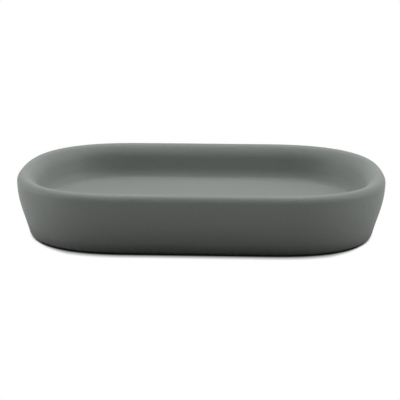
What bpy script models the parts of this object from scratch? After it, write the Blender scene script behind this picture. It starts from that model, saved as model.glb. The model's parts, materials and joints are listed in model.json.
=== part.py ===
# Soap dish: a one-piece stoneware body with a soap recess, standing on four rubber pads.
# Metres, +Z up. The origin is on the counter under the middle of the dish, and +X runs along its length.

import math

import bmesh
import bpy
from mathutils import Vector

# Plan of the dish at its widest line, just under the rim
LENGTH = 0.138
WIDTH = 0.090
END_SQUARENESS = 2.50

# Outer wall, from the foot up to the widest line
BODY_HEIGHT = 0.02165
FOOT_EDGE_RADIUS = 0.0008
LOWER_WALL_HEIGHT = 0.0095
LOWER_WALL_LEAN = math.radians(16.0)

# Rim: a tight outer shoulder, then a crest that rolls over into a slower inner shoulder
OUTER_SHOULDER_RADIUS = 0.0024
CREST_RADIUS = 0.0045
CREST_TURN = math.radians(35.0)
INNER_SHOULDER_RADIUS = 0.0080

# Soap recess: its wall sweeps in to a small fillet at the floor, and is a share narrower round the ends
RECESS_DEPTH = 0.0125
RECESS_STEEPNESS = math.radians(73.0)
RECESS_SWEEP_RADIUS = 0.0075
RECESS_SWEEP_TURN = math.radians(48.0)
RECESS_FILLET = 0.0016
END_NARROWING = 0.10

# Underside: a flat foot band round a shallow hollow
FOOT_BAND_WIDTH = 0.0125
HOLLOW_DEPTH = 0.0030
HOLLOW_STEEPNESS = math.radians(55.0)
HOLLOW_EDGE_RADIUS = 0.0012
HOLLOW_FILLET = 0.0035

# Rubber pads, glued into seats in the foot band
PAD_DIAMETER = 0.0080
PAD_THICKNESS = 0.0015
PAD_EDGE_RADIUS = 0.0003
SEAT_DEPTH = 0.0010
SEAT_CLEARANCE = 0.0003
GLUE_THICKNESS = 0.0003

# Finish: linear colour and roughness
STONEWARE_COLOR = (0.265, 0.284, 0.268)
STONEWARE_ROUGHNESS = 0.75
RUBBER_COLOR = (0.030, 0.031, 0.031)
RUBBER_ROUGHNESS = 0.85

# Fineness of the round shapes
END_STEPS = 22
ARC_STEP = math.radians(15.0)
BULGE_STEPS = 4
PAD_SIDES = 36
PAD_EDGE_STEPS = 2
SHARP_ANGLE = math.radians(35.0)

CUT_OVERRUN = 0.0010


def foot_height():
    """Gap between the counter and the foot band, left by the pads."""
    return PAD_THICKNESS + GLUE_THICKNESS - SEAT_DEPTH


def heading(slope):
    """Way along the wall's section as (inwards, downwards): 0 is inwards, a right angle is downwards."""
    return Vector((math.cos(slope), math.sin(slope)))


def add_arc(path, radius, start, end, steps=None):
    """Carries the path on round an arc that turns from one slope to another."""
    steps = steps or max(2, math.ceil(abs(end - start) / ARC_STEP))
    reach = math.copysign(radius, end - start)
    center = path[-1] + reach * heading(start + math.pi / 2)
    for step in range(1, steps + 1):
        slope = start + (end - start) * step / steps
        path.append(center + reach * heading(slope - math.pi / 2))


def add_rounds(path, slope, rounds):
    """Carries the path on round arcs of (radius, slope at its end), one after the other."""
    for radius, end in rounds:
        add_arc(path, radius, slope, end)
        slope = end


def add_slope(path, drop, slope):
    """Carries the path straight on until it has gone down by the drop."""
    path.append(path[-1] + heading(slope) * drop / math.sin(slope))


def hollow_side(depth, edge, foot):
    """Side of a moulded hollow, as (distance inwards, depth) from its edge to its flat floor.

    Edge and foot are the rounds at its two ends, with a straight slope between them.
    """
    steepness = edge[-1][1]
    foot_part = [Vector((0, 0))]
    add_rounds(foot_part, steepness, foot)
    path = [Vector((0, 0))]
    add_rounds(path, 0.0, edge)
    add_slope(path, depth - path[-1].y - foot_part[-1].y, steepness)
    add_rounds(path, steepness, foot)
    return path


def outer_wall():
    """Outside of the wall, as (inset, depth) from the crest down to the start of the foot band."""
    outwards = math.pi
    down = math.pi / 2
    leaning = down - LOWER_WALL_LEAN
    bulge_height = BODY_HEIGHT - OUTER_SHOULDER_RADIUS - LOWER_WALL_HEIGHT
    path = [Vector((OUTER_SHOULDER_RADIUS, 0))]
    add_arc(path, OUTER_SHOULDER_RADIUS, outwards, down)
    add_arc(path, bulge_height / math.sin(LOWER_WALL_LEAN), down, leaning, BULGE_STEPS)
    foot_edge_height = FOOT_EDGE_RADIUS * (1 - math.cos(leaning))
    add_slope(path, LOWER_WALL_HEIGHT - foot_edge_height, leaning)
    add_arc(path, FOOT_EDGE_RADIUS, leaning, 0.0)
    return path


def foot_band_insets():
    """Insets of the outer and inner edges of the flat foot band."""
    outer = outer_wall()[-1].x
    return outer, outer + FOOT_BAND_WIDTH


def recess_section():
    """Recess side of the wall, as (inset, height) from the crest of the rim down to the recess floor."""
    crest = foot_height() + BODY_HEIGHT
    rim = [(CREST_RADIUS, CREST_TURN), (INNER_SHOULDER_RADIUS, RECESS_STEEPNESS)]
    floor_edge = [(RECESS_SWEEP_RADIUS, RECESS_SWEEP_TURN), (RECESS_FILLET, 0.0)]
    side = hollow_side(RECESS_DEPTH, rim, floor_edge)
    return [Vector((OUTER_SHOULDER_RADIUS + point.x, crest - point.y)) for point in side]


def outer_section():
    """Outer side and underside of the wall, as (inset, height) from the crest of the rim to the hollow."""
    foot = foot_height()
    outside = [Vector((point.x, foot + BODY_HEIGHT - point.y)) for point in outer_wall()]
    band_end = foot_band_insets()[1]
    edge = [(HOLLOW_EDGE_RADIUS, HOLLOW_STEEPNESS)]
    hollow = hollow_side(HOLLOW_DEPTH, edge, [(HOLLOW_FILLET, 0.0)])
    return outside + [Vector((band_end + point.x, foot + point.y)) for point in hollow]


def end_point(angle):
    """Point of the right-hand end's outline: a superellipse as deep as the dish is half wide."""
    half_width = WIDTH / 2
    power = 2 / END_SQUARENESS
    along = LENGTH / 2 - half_width + half_width * max(math.cos(angle), 0) ** power
    return Vector((along, half_width * math.sin(angle) ** power))


def end_normal(angle):
    """Outward normal of the end's outline at that point."""
    power = 2 - 2 / END_SQUARENESS
    return Vector((max(math.cos(angle), 0) ** power, math.sin(angle) ** power)).normalized()


def plan_outline():
    """Widest outline as (point, outward normal): straight long sides between superelliptic ends."""
    angles = [math.pi / 2 * step / END_STEPS for step in range(END_STEPS + 1)]
    quarter = [(end_point(angle), end_normal(angle)) for angle in angles]
    quadrants = [
        (Vector((1, 1)), quarter),
        (Vector((-1, 1)), quarter[::-1]),
        (Vector((-1, -1)), quarter[1:]),
        (Vector((1, -1)), quarter[:0:-1]),
    ]
    return [(flip * point, flip * normal) for flip, part in quadrants for point, normal in part]


def add_ring(shape, step, narrowing=0.0):
    """Adds the loop of vertices that a step of the section draws round the plan.

    Narrowing is what comes off the step's inset at the very ends, fading to nothing along the sides.
    """
    ring = []
    for point, normal in plan_outline():
        spot = point - (step.x - narrowing * abs(normal.x)) * normal
        ring.append(shape.verts.new((*spot, step.y)))
    return ring


def pad_places():
    """Name and centre of each pad, in the middle of the foot band at the corners of the plan."""
    corner = end_point(math.pi / 4)
    inwards = sum(foot_band_insets()) / 2 * math.sqrt(0.5)
    x = corner.x - inwards
    y = corner.y - inwards
    return {
        "pad_front_left": (-x, -y),
        "pad_front_right": (x, -y),
        "pad_back_left": (-x, y),
        "pad_back_right": (x, y),
    }


def clear_scene():
    for leftover in list(bpy.data.objects):
        bpy.data.objects.remove(leftover, do_unlink=True)


def new_collection(name):
    collection = bpy.data.collections.new(name)
    bpy.context.scene.collection.children.link(collection)
    return collection


def new_material(name, color, roughness):
    material = bpy.data.materials.new(name)
    material.use_nodes = True
    shader = material.node_tree.nodes["Principled BSDF"]
    shader.inputs["Base Color"].default_value = (*color, 1.0)
    shader.inputs["Roughness"].default_value = roughness
    shader.inputs["Metallic"].default_value = 0.0
    return material


def move_to(collection, obj):
    for holder in list(obj.users_collection):
        holder.objects.unlink(obj)
    collection.objects.link(obj)


def new_cylinder(name, diameter, bottom, top, place, collection):
    bpy.ops.mesh.primitive_cylinder_add(
        vertices=PAD_SIDES,
        radius=diameter / 2,
        depth=top - bottom,
        location=(*place, (bottom + top) / 2),
    )
    cylinder = bpy.context.object
    cylinder.name = name
    move_to(collection, cylinder)
    return cylinder


def make_dish_body(collection):
    """Sweeps the wall's section round the plan, then closes the recess floor and the hollow."""
    shape = bmesh.new()
    crest, *recess = recess_section()
    rings = [add_ring(shape, step, END_NARROWING * (step.x - crest.x)) for step in reversed(recess)]
    rings += [add_ring(shape, step) for step in outer_section()]
    for ring, next_ring in zip(rings, rings[1:]):
        for index in range(len(ring)):
            shape.faces.new((ring[index - 1], ring[index], next_ring[index], next_ring[index - 1]))
    bmesh.ops.holes_fill(shape, edges=shape.edges, sides=0)
    bmesh.ops.recalc_face_normals(shape, faces=shape.faces)
    mesh = bpy.data.meshes.new("dish_body")
    shape.to_mesh(mesh)
    shape.free()
    mesh.shade_smooth()
    mesh.set_sharp_from_angle(angle=SHARP_ANGLE)
    body = bpy.data.objects.new("dish_body", mesh)
    collection.objects.link(body)
    return body


def cut_pad_seats(body, cutters):
    foot = foot_height()
    for pad_name, place in pad_places().items():
        diameter = PAD_DIAMETER + 2 * SEAT_CLEARANCE
        name = pad_name.replace("pad", "seat_cutter")
        cutter = new_cylinder(name, diameter, foot - CUT_OVERRUN, foot + SEAT_DEPTH, place, cutters)
        cutter.hide_render = True
        cutter.display_type = "WIRE"
        cut = body.modifiers.new(name, "BOOLEAN")
        cut.operation = "DIFFERENCE"
        cut.object = cutter


def make_pads(collection):
    pads = []
    for name, place in pad_places().items():
        pad = new_cylinder(name, PAD_DIAMETER, 0.0, PAD_THICKNESS, place, collection)
        rounding = pad.modifiers.new("rounded_edges", "BEVEL")
        rounding.width = PAD_EDGE_RADIUS
        rounding.segments = PAD_EDGE_STEPS
        pad.data.shade_smooth()
        pad.data.set_sharp_from_angle(angle=SHARP_ANGLE)
        pads.append(pad)
    return pads


def main():
    clear_scene()
    dish = new_collection("soap_dish")
    cutters = new_collection("cutters")
    stoneware = new_material("soft_touch_stoneware", STONEWARE_COLOR, STONEWARE_ROUGHNESS)
    rubber = new_material("pad_rubber", RUBBER_COLOR, RUBBER_ROUGHNESS)

    body = make_dish_body(dish)
    cut_pad_seats(body, cutters)
    body.data.materials.append(stoneware)
    pads = make_pads(dish)
    for pad in pads:
        pad.data.materials.append(rubber)

    handle = bpy.data.objects.new("soap_dish_origin", None)
    dish.objects.link(handle)
    for piece in [body, *pads, *cutters.objects]:
        piece.parent = handle


main()
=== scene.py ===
# Soap dish in soft-touch stoneware on rubber pads, on a white studio table.
import json
import math

import bmesh
import bpy
from mathutils import Euler, Matrix, Vector, noise

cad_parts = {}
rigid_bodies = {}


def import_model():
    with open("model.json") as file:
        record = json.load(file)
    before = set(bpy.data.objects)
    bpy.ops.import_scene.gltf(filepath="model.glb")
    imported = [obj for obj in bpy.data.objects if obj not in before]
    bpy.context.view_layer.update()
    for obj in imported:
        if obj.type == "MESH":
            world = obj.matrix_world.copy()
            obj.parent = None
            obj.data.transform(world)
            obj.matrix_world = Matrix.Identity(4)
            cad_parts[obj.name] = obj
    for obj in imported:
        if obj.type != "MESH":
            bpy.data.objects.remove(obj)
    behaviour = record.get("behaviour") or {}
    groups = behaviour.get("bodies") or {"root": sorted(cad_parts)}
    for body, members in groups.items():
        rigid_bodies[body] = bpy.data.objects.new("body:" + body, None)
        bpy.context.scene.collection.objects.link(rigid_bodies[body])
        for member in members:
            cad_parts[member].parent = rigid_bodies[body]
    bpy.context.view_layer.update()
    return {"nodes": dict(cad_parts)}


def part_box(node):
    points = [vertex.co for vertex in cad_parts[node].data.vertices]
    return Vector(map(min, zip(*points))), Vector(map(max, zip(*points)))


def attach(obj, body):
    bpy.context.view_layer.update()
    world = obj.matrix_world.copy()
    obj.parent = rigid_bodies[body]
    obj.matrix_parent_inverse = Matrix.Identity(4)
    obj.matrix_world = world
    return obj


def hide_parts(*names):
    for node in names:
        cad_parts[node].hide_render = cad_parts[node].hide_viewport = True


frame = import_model()
bodyLow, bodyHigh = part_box("dish_body")
padNames = [name for name in frame["nodes"] if name.startswith("pad_")]


# Camera, fitted to the photograph's outline of the dish
cameraLook = {
    "elevation": 15.175,    # degrees above the table
    "yaw": 1.829,           # degrees towards the right-hand end
    "roll": 0.204,          # degrees anticlockwise, seen from behind the camera
    "distance": 0.3959,     # from the aim point
    "aim": (-0.00051, 0.0, 0.00936),
    "lens": 92.585,         # millimetres, like the width of the sensor
    "sensorWidth": 36,
    "nearest": 0.01,        # nothing closer than this is drawn
}


def makeCamera(look):
    data = bpy.data.cameras.new("camera")
    data.lens = look["lens"]
    data.sensor_width = look["sensorWidth"]
    data.clip_start = look["nearest"]
    camera = bpy.data.objects.new("camera", data)
    bpy.context.scene.collection.objects.link(camera)
    tilt = math.radians(90 - look["elevation"])
    turn = Euler((tilt, 0, math.radians(look["yaw"]))).to_matrix()
    turn = turn @ Matrix.Rotation(math.radians(look["roll"]), 3, "Z")
    camera.location = Vector(look["aim"]) + turn @ Vector((0, 0, look["distance"]))
    camera.rotation_euler = turn.to_euler()
    bpy.context.scene.camera = camera


makeCamera(cameraLook)
print("camera set")


# Dish body, metres and degrees
dishBody = {
    "squareness": 2.50,         # exponent of the rounded ends
    "endSteps": 64,             # per quarter of the outline
    "sideStep": 0.0016,         # spacing of the points along the long sides
    "outerShoulder": 0.0024,
    "lowerWallHeight": 0.0095,
    "lowerWallLean": 16.0,
    "footEdge": 0.0008,
    "crestRadius": 0.0045,      # inner side of the rim, first part of the turn
    "crestTurn": 35.0,
    "innerShoulder": 0.0080,
    "recessDepth": 0.0125,
    "recessSteepness": 73.0,
    "recessSweep": 0.0075,      # foot of the recess wall, first part of the turn
    "sweepTurn": 48.0,
    "recessFillet": 0.0016,
    "endNarrowing": 0.10,       # share by which the recess wall is narrower at the two ends
    "footBandWidth": 0.0125,
    "hollowDepth": 0.0030,
    "hollowSteepness": 55.0,
    "hollowEdge": 0.0012,
    "hollowFillet": 0.0035,
    "arcStep": 4.0,             # degrees of arc per ring
    "arcGap": 0.0006,           # longest step round an arc
    "fewestArcSteps": 3,
    "ringGap": 0.0009,          # longest straight step down the section
    "floorRings": (0.86, 0.70, 0.52, 0.34, 0.16),   # shares of the edge of the floor
    "unevenDepth": 0.00006,
    "unevenLevel": 0.5,         # share of that depth about which the waves swing
    "unevenWaves": ((0.021, 0.7), (0.007, 0.25)),   # (width, share of the depth)
    "evenFoot": 0.0015,         # the foot is true up to here, and the waves come in over as much
    "seatDepth": 0.0010,
    "seatClearance": 0.0003,
    "seatLip": 0.00015,
    "lipSteps": 4,
    "seatRings": (0.2, 0.6, 1),     # shares of the radius of the seat
    "seatSides": 72,
    "mergeGap": 0.00002,        # points closer than this become one, round the seats
    "sharpAngle": 35.0,
}


def addArc(path, look, radius, begin, end):
    # goes on from the last point and turns from one slope to another (degrees, 0 inwards, 90 down)
    turn = math.radians(end - begin)
    count = max(look["fewestArcSteps"], math.ceil(abs(end - begin) / look["arcStep"]),
                math.ceil(radius * abs(turn) / look["arcGap"]))
    side = math.copysign(radius, turn)
    start = math.radians(begin)
    center = path[-1] + side * Vector((-math.sin(start), math.cos(start)))
    for i in range(1, count + 1):
        way = start + turn * i / count
        path.append(center + side * Vector((math.sin(way), -math.cos(way))))


def addSlope(path, length, way):
    way = math.radians(way)
    path.append(path[-1] + length * Vector((math.cos(way), math.sin(way))))


def arcDrop(radius, begin, end):
    return radius * abs(math.cos(math.radians(begin)) - math.cos(math.radians(end)))


def slopedSide(look, depth, steep, firstArcs, lastArcs):
    # arcs into a straight slope and out of it again; the slope makes up what they lack in depth
    drop = sum(arcDrop(*arc) for arc in firstArcs + lastArcs)
    path = [Vector((0, 0))]
    for arc in firstArcs:
        addArc(path, look, *arc)
    addSlope(path, (depth - drop) / math.sin(math.radians(steep)), steep)
    for arc in lastArcs:
        addArc(path, look, *arc)
    return path


def recessSide(look):
    # (distance inwards, depth) from the crest of the rim to the recess floor
    steep, crest, sweep = look["recessSteepness"], look["crestTurn"], look["sweepTurn"]
    rim = [(look["crestRadius"], 0, crest), (look["innerShoulder"], crest, steep)]
    corner = [(look["recessSweep"], steep, sweep), (look["recessFillet"], sweep, 0)]
    return slopedSide(look, look["recessDepth"], steep, rim, corner)


def hollowSide(look):
    # (distance inwards, height) from the foot band to the ceiling of the hollow underneath
    steep = look["hollowSteepness"]
    edge = [(look["hollowEdge"], 0, steep)]
    corner = [(look["hollowFillet"], steep, 0)]
    return slopedSide(look, look["hollowDepth"], steep, edge, corner)


def outerSide(look, height):
    # (distance inwards, depth) from the crest of the rim to the start of the foot band
    lean = look["lowerWallLean"]
    slope = math.radians(lean)
    shoulder = look["outerShoulder"]
    bulge = (height - shoulder - look["lowerWallHeight"]) / math.sin(slope)
    path = [Vector((0, 0))]
    addArc(path, look, shoulder, 180, 90)
    addArc(path, look, bulge, 90, 90 - lean)
    edge = look["footEdge"]
    straight = look["lowerWallHeight"] - edge * (1 - math.sin(slope))
    addSlope(path, straight / math.cos(slope), 90 - lean)
    addArc(path, look, edge, 90 - lean, 0)
    return path


def wallSection(look, foot, crest):
    # (inset from the widest outline, height), from the recess floor over the rim to the hollow
    top = recessSide(look)[::-1] + outerSide(look, crest - foot)[1:]
    section = [Vector((look["outerShoulder"] + point.x, crest - point.y)) for point in top]
    bandEnd = section[-1].x + look["footBandWidth"]
    section += [Vector((bandEnd + point.x, foot + point.y)) for point in hollowSide(look)]
    return evenSteps(section, look["ringGap"])


def evenSteps(points, gap):
    # splits long straight steps so that the surface can take fine unevenness
    out = [points[0]]
    for point in points[1:]:
        parts = max(1, math.ceil((point - out[-1]).length / gap))
        start = out[-1].copy()
        out += [start.lerp(point, i / parts) for i in range(1, parts + 1)]
    return out


def planOutline(look, halfLength, halfWidth):
    # points of the widest outline with their outward normals, anticlockwise
    squareness = look["squareness"]
    power = 2 / squareness
    straight = halfLength - halfWidth
    quarter = []
    for i in range(look["endSteps"] + 1):
        angle = math.pi / 2 * i / look["endSteps"]
        along = max(math.cos(angle), 0) ** power
        across = math.sin(angle) ** power
        normal = Vector((along ** (squareness - 1), across ** (squareness - 1)))
        point = Vector((straight + halfWidth * along, halfWidth * across))
        quarter.append((point, normal.normalized()))
    outline = []
    for signX, signY, part in ((1, 1, quarter), (-1, 1, quarter[::-1]),
                               (-1, -1, quarter[1:]), (1, -1, quarter[1:][::-1])):
        flip = Vector((signX, signY))
        outline += [(point * flip, normal * flip) for point, normal in part]
    return outline


def addStraightSteps(outline, gap):
    # the two long sides get points too, spaced like those of the ends
    out = []
    for i, (point, normal) in enumerate(outline):
        nextPoint, nextNormal = outline[(i + 1) % len(outline)]
        parts = max(1, math.ceil((nextPoint - point).length / gap))
        for share in (j / parts for j in range(parts)):
            out.append((point.lerp(nextPoint, share), normal.lerp(nextNormal, share).normalized()))
    return out


def ringBody(look):
    # sweeps the wall's section round the plan, then closes the recess floor and the hollow
    section = wallSection(look, bodyLow.z, bodyHigh.z)
    plan = planOutline(look, bodyHigh.x, bodyHigh.y)
    outline = addStraightSteps(plan, look["sideStep"])
    shape = bmesh.new()
    crest = max(range(len(section)), key=lambda i: section[i].y)
    rings = []
    for i, step in enumerate(section):
        reach = max(0, step.x - section[crest].x) * look["endNarrowing"] if i < crest else 0
        spots = [point - normal * (step.x - reach * abs(normal.x)) for point, normal in outline]
        rings.append([shape.verts.new((spot.x, spot.y, step.y)) for spot in spots])
    for upper, lower in zip(rings, rings[1:]):
        joinRings(shape, upper, lower)
    closeWithRings(shape, rings[0], look["floorRings"])
    closeWithRings(shape, rings[-1], look["floorRings"])
    bmesh.ops.recalc_face_normals(shape, faces=shape.faces)
    return shape


def joinRings(shape, first, second):
    count = len(first)
    for i in range(count):
        j = (i + 1) % count
        shape.faces.new((first[i], first[j], second[j], second[i]))


def closeWithFan(shape, ring):
    # triangles from a ring to a point in its middle
    middle = shape.verts.new(sum((vert.co for vert in ring), Vector()) / len(ring))
    for i, vert in enumerate(ring):
        shape.faces.new((ring[i - 1], vert, middle))


def closeWithRings(shape, ring, shares):
    # flat floor inside a ring: smaller copies of it, then a fan
    height = ring[0].co.z
    outer = ring
    for share in shares:
        inner = [shape.verts.new((vert.co.x * share, vert.co.y * share, height)) for vert in ring]
        joinRings(shape, outer, inner)
        outer = inner
    closeWithFan(shape, outer)


def makeUneven(shape, look, foot):
    # a cast and sponged surface is never quite true: it sinks in by hundredths of a millimetre
    shape.normal_update()
    moves = []
    for vert in shape.verts:
        wave = sum(noise.noise(vert.co * (1 / size)) * share
                   for size, share in look["unevenWaves"])
        rise = min(1, max(0, (vert.co.z - foot) / look["evenFoot"] - 1))
        moves.append(vert.normal * (-look["unevenDepth"] * (look["unevenLevel"] + wave) * rise))
    for vert, move in zip(shape.verts, moves):
        vert.co += move


def addTurned(shape, place, outline, sides):
    # closed turned form at a place on the table: outline of (radius, height), from end to end
    turns = [2 * math.pi * i / sides for i in range(sides)]
    rings = []
    for radius, height in outline:
        rings.append([shape.verts.new((place.x + radius * math.cos(turn),
                                       place.y + radius * math.sin(turn), height))
                      for turn in turns])
    for lower, upper in zip(rings, rings[1:]):
        joinRings(shape, lower, upper)
    closeWithFan(shape, rings[0])
    closeWithFan(shape, rings[-1])
    bmesh.ops.recalc_face_normals(shape, faces=shape.faces)


def makeObject(name, shape):
    mesh = bpy.data.meshes.new(name)
    shape.to_mesh(mesh)
    shape.free()
    made = bpy.data.objects.new(name, mesh)
    bpy.context.scene.collection.objects.link(made)
    return made


def seatOutline(look, foot, radius):
    # the seat's ceiling, its wall, and a lip rounded by the coat, then on down past the foot band
    lip = look["seatLip"]
    top = foot + look["seatDepth"]
    below = foot - look["seatDepth"]
    outline = [(radius * share, top) for share in look["seatRings"]]
    for i in range(look["lipSteps"] + 1):
        angle = math.pi / 2 * i / look["lipSteps"]
        outline.append((radius + lip * (1 - math.cos(angle)), foot + lip * (1 - math.sin(angle))))
    outline.append((outline[-1][0], below))
    outline.append((radius * look["seatRings"][0], below))
    return outline


def cutSeats(body, look):
    shape = bmesh.new()
    for pad in padNames:
        low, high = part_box(pad)
        radius = (high.x - low.x) / 2 + look["seatClearance"]
        middle = (low + high) / 2
        addTurned(shape, middle, seatOutline(look, bodyLow.z, radius), look["seatSides"])
    cutter = makeObject("seatCutter", shape)
    cut = body.modifiers.new("seats", "BOOLEAN")
    cut.operation = "DIFFERENCE"
    cut.object = cutter
    graph = bpy.context.evaluated_depsgraph_get()
    body.data = bpy.data.meshes.new_from_object(body.evaluated_get(graph))
    body.modifiers.clear()
    bpy.data.objects.remove(cutter)
    mergeSlivers(body.data, look["mergeGap"])


def mergeSlivers(mesh, gap):
    # the cut leaves doubled corners and needle faces round the seats
    shape = bmesh.new()
    shape.from_mesh(mesh)
    bmesh.ops.remove_doubles(shape, verts=shape.verts, dist=gap)
    bmesh.ops.dissolve_degenerate(shape, edges=shape.edges, dist=gap)
    shape.to_mesh(mesh)
    shape.free()


def makeDishBody(look):
    shape = ringBody(look)
    makeUneven(shape, look, bodyLow.z)
    body = makeObject("dishBody", shape)
    cutSeats(body, look)
    body.data.shade_smooth()
    body.data.set_sharp_from_angle(angle=math.radians(look["sharpAngle"]))
    return body


body = makeDishBody(dishBody)
print("dish body:", len(body.data.polygons), "faces")


# Rubber pads, one in each seat
rubberPad = {
    "sides": 72,
    "edge": 0.00030,            # rounding of the rim, top and bottom
    "edgeSteps": 6,
    "dimpleDepth": 0.00008,     # shallow hollow moulded into the underside
    "dimpleShare": 0.72,        # of the pad's radius
    "dimpleSlope": 0.3,         # share of the rest of the radius over which it runs out
    "dimpleSteps": 6,
    "ringShares": (0.2, 0.45, 0.7),     # rings across the dimple and the top
}


def padOutline(look, radius, low, high):
    # (radius, height) from the middle of the underside round the rim to the middle of the top
    dimple = radius * look["dimpleShare"]
    depth = look["dimpleDepth"]
    steps = look["dimpleSteps"]
    outline = [(dimple * share, low + depth) for share in look["ringShares"]]
    for i in range(steps + 1):
        fall = (1 + math.cos(math.pi * i / steps)) / 2
        out = dimple + (radius - dimple) * look["dimpleSlope"] * i / steps
        outline.append((out, low + depth * fall))
    edge = look["edge"]
    for middle, begin in ((low + edge, -90), (high - edge, 0)):
        for i in range(look["edgeSteps"] + 1):
            angle = math.radians(begin + 90 * i / look["edgeSteps"])
            out = radius - edge + edge * math.cos(angle)
            outline.append((out, middle + edge * math.sin(angle)))
    outline += [((radius - edge) * share, high) for share in reversed(look["ringShares"])]
    return outline


def makePad(name, look):
    low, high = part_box(name)
    shape = bmesh.new()
    outline = padOutline(look, (high.x - low.x) / 2, low.z, high.z)
    addTurned(shape, (low + high) / 2, outline, look["sides"])
    words = name.split("_")
    pad = makeObject(words[0] + "".join(word.capitalize() for word in words[1:]), shape)
    pad.data.shade_smooth()
    return pad


pads = {name: makePad(name, rubberPad) for name in padNames}
print("rubber pads:", len(pads))


def newMaterial(name):
    material = bpy.data.materials.new(name)
    material.use_nodes = True
    return material, material.node_tree, material.node_tree.nodes["Principled BSDF"]


def addNode(tree, kind, inputs=None, **settings):
    # a node with its settings; an input that is given a socket is linked to it
    node = tree.nodes.new("ShaderNode" + kind)
    for key, value in settings.items():
        setattr(node, key, value)
    for key, value in (inputs or {}).items():
        if isinstance(value, bpy.types.NodeSocket):
            tree.links.new(value, node.inputs[key])
        else:
            node.inputs[key].default_value = value
    return node


def addNoise(tree, place, size, detail):
    # noise whose patches are about this many metres wide
    pattern = {"Vector": place, "Scale": 1 / size, "Detail": detail}
    return addNode(tree, "TexNoise", pattern).outputs["Fac"]


def addRange(tree, value, low, high, toLow, toHigh):
    span = {"Value": value, "From Min": low, "From Max": high, "To Min": toLow, "To Max": toHigh}
    return addNode(tree, "MapRange", span).outputs["Result"]


def addProduct(tree, first, second):
    return addNode(tree, "Math", {0: first, 1: second}, operation="MULTIPLY").outputs[0]


def addLarger(tree, first, second):
    return addNode(tree, "Math", {0: first, 1: second}, operation="MAXIMUM").outputs[0]


def addAlong(tree, place):
    # distance from the middle, along the dish
    along = addNode(tree, "SeparateXYZ", {0: place}).outputs["X"]
    return addNode(tree, "Math", {0: along}, operation="ABSOLUTE").outputs[0]


def addTone(tree, share, first, second):
    # from the first colour to the second
    tones = {0: share, 6: first, 7: second}
    return addNode(tree, "Mix", tones, data_type="RGBA").outputs[2]


def toneOf(color, share):
    # a colour times a share, as a node takes it
    return (*(part * share for part in color), 1)


# Soft-touch stoneware: a matt sprayed coat over fired clay.
# A noise is (width of its patches, detail); a range is (value from, to, result from, to).
stoneware = {
    "color": (0.265, 0.287, 0.268),
    "pale": 1.07,                           # times the colour, where the coat lies thin
    "deep": 0.95,                           # where it lies thick
    "rubbed": 1.08,                         # on the crest of the rim
    "soiled": 0.50,                         # painted shade, on the edge of the foot, along the two long sides
    "clouds": (0.024, 3),
    "sprayDots": (0.0009, 2),
    "grain": (0.00032, 2),
    "peel": (0.0024, 1),
    "cloudShare": (0.35, 0.65, 0, 1),       # from deep to plain
    "dotShare": (0.48, 0.75, 0, 0.6),       # from there to pale
    "rubbedHeight": 0.0009,                 # rubbing starts this far below the crest
    "rubbedMost": 0.7,                      # share of it on the crest itself
    "rubbedPatches": (0.4, 0.6, 0.2, 1),    # by the clouds
    "footHeight": 0.0040,                   # painted shade ends this far above the foot
    "soiledMost": 0.8,                      # share of it on the foot itself
    "soiledPatches": (0.35, 0.65, 0.7, 1),  # by the peel
    "cleanEnds": (0.054, 0.061, 1, 0),      # painted shade fades out over this distance from the middle
    "roughDots": (0.3, 0.7, 0.9, 1.1),      # times the clouds
    "roughness": (0.35, 0.65, 0.50, 0.60),
    "specular": 0.35,
    "grainBump": 0.00003,
    "peelBump": 0.00008,
}


def stonewareMaterial(look):
    material, tree, shader = newMaterial("softTouchStoneware")
    place = addNode(tree, "TexCoord").outputs["Object"]
    height = addNode(tree, "SeparateXYZ", {0: place}).outputs["Z"]
    clouds, dots, grain, peel = (addNoise(tree, place, *look[pattern])
                                 for pattern in ("clouds", "sprayDots", "grain", "peel"))

    deep, plain, pale, rub, footShadeTone = (
        toneOf(look["color"], share)
        for share in (look["deep"], 1, look["pale"], look["rubbed"], look["soiled"]))
    color = addTone(tree, addRange(tree, clouds, *look["cloudShare"]), deep, plain)
    color = addTone(tree, addRange(tree, dots, *look["dotShare"]), color, pale)
    crest = bodyHigh.z
    rubbed = addRange(tree, height, crest - look["rubbedHeight"], crest, 0, look["rubbedMost"])
    rubbed = addProduct(tree, rubbed, addRange(tree, clouds, *look["rubbedPatches"]))
    color = addTone(tree, rubbed, color, rub)
    # painted shade: the colour darkens towards the foot along the two long sides, where the
    # table's shade falls, and fades out at the two ends
    foot = bodyLow.z
    soiled = addRange(tree, height, foot + look["footHeight"], foot, 0, look["soiledMost"])
    soiled = addProduct(tree, soiled, addRange(tree, peel, *look["soiledPatches"]))
    soiled = addProduct(tree, soiled, addRange(tree, addAlong(tree, place), *look["cleanEnds"]))
    color = addTone(tree, soiled, color, footShadeTone)
    tree.links.new(color, shader.inputs["Base Color"])

    dotted = addProduct(tree, clouds, addRange(tree, dots, *look["roughDots"]))
    tree.links.new(addRange(tree, dotted, *look["roughness"]), shader.inputs["Roughness"])
    shader.inputs["Specular IOR Level"].default_value = look["specular"]

    wide = addNode(tree, "Bump", {"Height": peel, "Distance": look["peelBump"]})
    fine = addNode(tree, "Bump", {"Height": grain, "Distance": look["grainBump"],
                                  "Normal": wide.outputs[0]})
    tree.links.new(fine.outputs[0], shader.inputs["Normal"])
    return material


# Pad rubber: dull black with a little dust
rubber = {
    "color": (0.030, 0.031, 0.031),
    "dustTone": (0.085, 0.084, 0.080),
    "dust": (0.0016, 4),
    "grain": (0.00018, 2),
    "dustShare": (0.5, 0.75, 0, 0.6),
    "roughness": (0.3, 0.7, 0.78, 0.92),    # by the dust
    "specular": 0.3,
    "grainBump": 0.000012,
}


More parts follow.
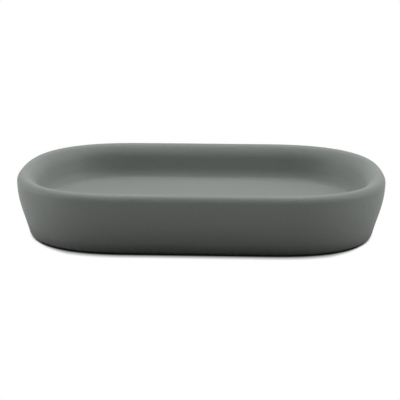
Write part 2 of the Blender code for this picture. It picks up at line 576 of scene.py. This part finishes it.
def rubberMaterial(look):
    material, tree, shader = newMaterial("padRubber")
    place = addNode(tree, "TexCoord").outputs["Object"]
    dust = addNoise(tree, place, *look["dust"])
    grain = addNoise(tree, place, *look["grain"])
    color = addTone(tree, addRange(tree, dust, *look["dustShare"]),
                    toneOf(look["color"], 1), toneOf(look["dustTone"], 1))
    tree.links.new(color, shader.inputs["Base Color"])
    tree.links.new(addRange(tree, dust, *look["roughness"]), shader.inputs["Roughness"])
    shader.inputs["Specular IOR Level"].default_value = look["specular"]
    bump = addNode(tree, "Bump", {"Height": grain, "Distance": look["grainBump"]})
    tree.links.new(bump.outputs[0], shader.inputs["Normal"])
    return material


body.data.materials.append(stonewareMaterial(stoneware))
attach(body, "root")
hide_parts("dish_body")
padRubber = rubberMaterial(rubber)
for name, pad in pads.items():
    pad.data.materials.append(padRubber)
    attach(pad, "root")
    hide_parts(name)
print("materials set")


# Studio: white table, white surround, soft lamps
studio = {
    "tableSize": 1.6,
    "tableSides": 96,
    "bounce": 0.6,                      # of the open table
    "shadedBounce": 0.05,               # in the shade close under the wall
    "shadeReach": 0.035,
    "glossTable": 0.92,                 # the open table as a gloss shows it
    "shadedGloss": 0.06,
    "glossReach": 0.012,
    "shadeOpenness": (0.36, 1.0),       # share of open sky, from full shade to none
    "contactReach": 0.004,
    "contactDark": 0.005,               # left of the white in the gap under the foot
    "contactOpenness": 0.22,            # share of open sky up to which it stays dark
    "frontOpenness": 0.92,              # and at which the shadow ends along the sides
    "endOpenness": 0.45,                # the painted shadow ends sooner at the two ends, standing for the side lamps that reach under the wall there
    "endPlace": (0.046, 0.058),         # distance from the middle, from sides to ends
    "lampSpread": 40,                   # degrees across the soft panel in front of each lamp
}

lamps = {
    # name: (degrees round from the camera, degrees up, strength)
    "rightHighLamp": (90, 60, 0.71),
    "rightMidLamp": (90, 30, 0.55),
    "rightLowLamp": (90, 8, 0.39),
    "backHighLamp": (180, 60, 0.91),
    "leftHighLamp": (-90, 60, 0.61),
    "leftLowLamp": (-90, 8, 1.22),
}


def addOpenness(tree, reach, openness, dark, light):
    # from dark to light as more of the sky is open within reach of a place on the table
    sky = addNode(tree, "AmbientOcclusion", {"Distance": reach})
    return addRange(tree, sky.outputs["AO"], *openness, dark, light)


def addShader(tree, share, first, second):
    return addNode(tree, "MixShader", {0: share, 1: first.outputs[0], 2: second.outputs[0]})


def makeTable(look):
    bpy.ops.mesh.primitive_circle_add(vertices=look["tableSides"], radius=look["tableSize"] / 2,
                                      fill_type="NGON")
    table = bpy.context.object
    table.name = "table"
    material, tree, shader = newMaterial("tableWhite")
    tree.nodes.remove(shader)
    # painted shade: near the dish the table darkens by how much sky is open round it, not by the
    # lamps, in its bounce, its gloss and as the camera sees it
    shade = addOpenness(tree, look["shadeReach"], look["shadeOpenness"],
                        look["shadedBounce"], look["bounce"])
    lit = addNode(tree, "BsdfDiffuse", {"Color": shade})
    gloss = addOpenness(tree, look["glossReach"], look["shadeOpenness"],
                        look["shadedGloss"], look["glossTable"])
    mirrored = addNode(tree, "Emission", {"Strength": gloss})
    along = addAlong(tree, addNode(tree, "TexCoord").outputs["Object"])
    clear = addRange(tree, along, *look["endPlace"], look["frontOpenness"], look["endOpenness"])
    contact = addOpenness(tree, look["contactReach"], (look["contactOpenness"], clear),
                          look["contactDark"], 1)
    seen = addNode(tree, "Emission", {"Strength": contact})
    path = addNode(tree, "LightPath").outputs
    unseen = addShader(tree, path["Is Glossy Ray"], lit, mirrored)
    looking = addLarger(tree, path["Is Camera Ray"], path["Is Transmission Ray"])
    pick = addShader(tree, looking, unseen, seen)
    tree.links.new(pick.outputs[0], tree.nodes["Material Output"].inputs["Surface"])
    table.data.materials.append(material)


def makeSurround():
    # white to look at, straight, in a gloss or through glass, and no light of its own
    world = bpy.data.worlds.new("surround")
    bpy.context.scene.world = world
    world.use_nodes = True
    tree = world.node_tree
    path = addNode(tree, "LightPath").outputs
    looking = addLarger(tree, path["Is Camera Ray"], path["Is Transmission Ray"])
    white = tree.nodes["Background"]
    white.inputs["Color"].default_value = (1, 1, 1, 1)
    tree.links.new(addLarger(tree, looking, path["Is Glossy Ray"]), white.inputs["Strength"])


def makeLamp(look, name, around, up, strength):
    data = bpy.data.lights.new(name, "SUN")
    data.angle = math.radians(look["lampSpread"])
    data.energy = strength
    lamp = bpy.data.objects.new(name, data)
    bpy.context.scene.collection.objects.link(lamp)
    around = math.radians(around)
    up = math.radians(up)
    aside = math.cos(up)
    lamp.location = Vector((math.sin(around) * aside, -math.cos(around) * aside, math.sin(up)))
    lamp.rotation_euler = lamp.location.to_track_quat("Z", "Y").to_euler()


makeTable(studio)
makeSurround()
for name, settings in lamps.items():
    makeLamp(studio, name, *settings)
bpy.context.scene.view_settings.view_transform = "Standard"
print("studio set")
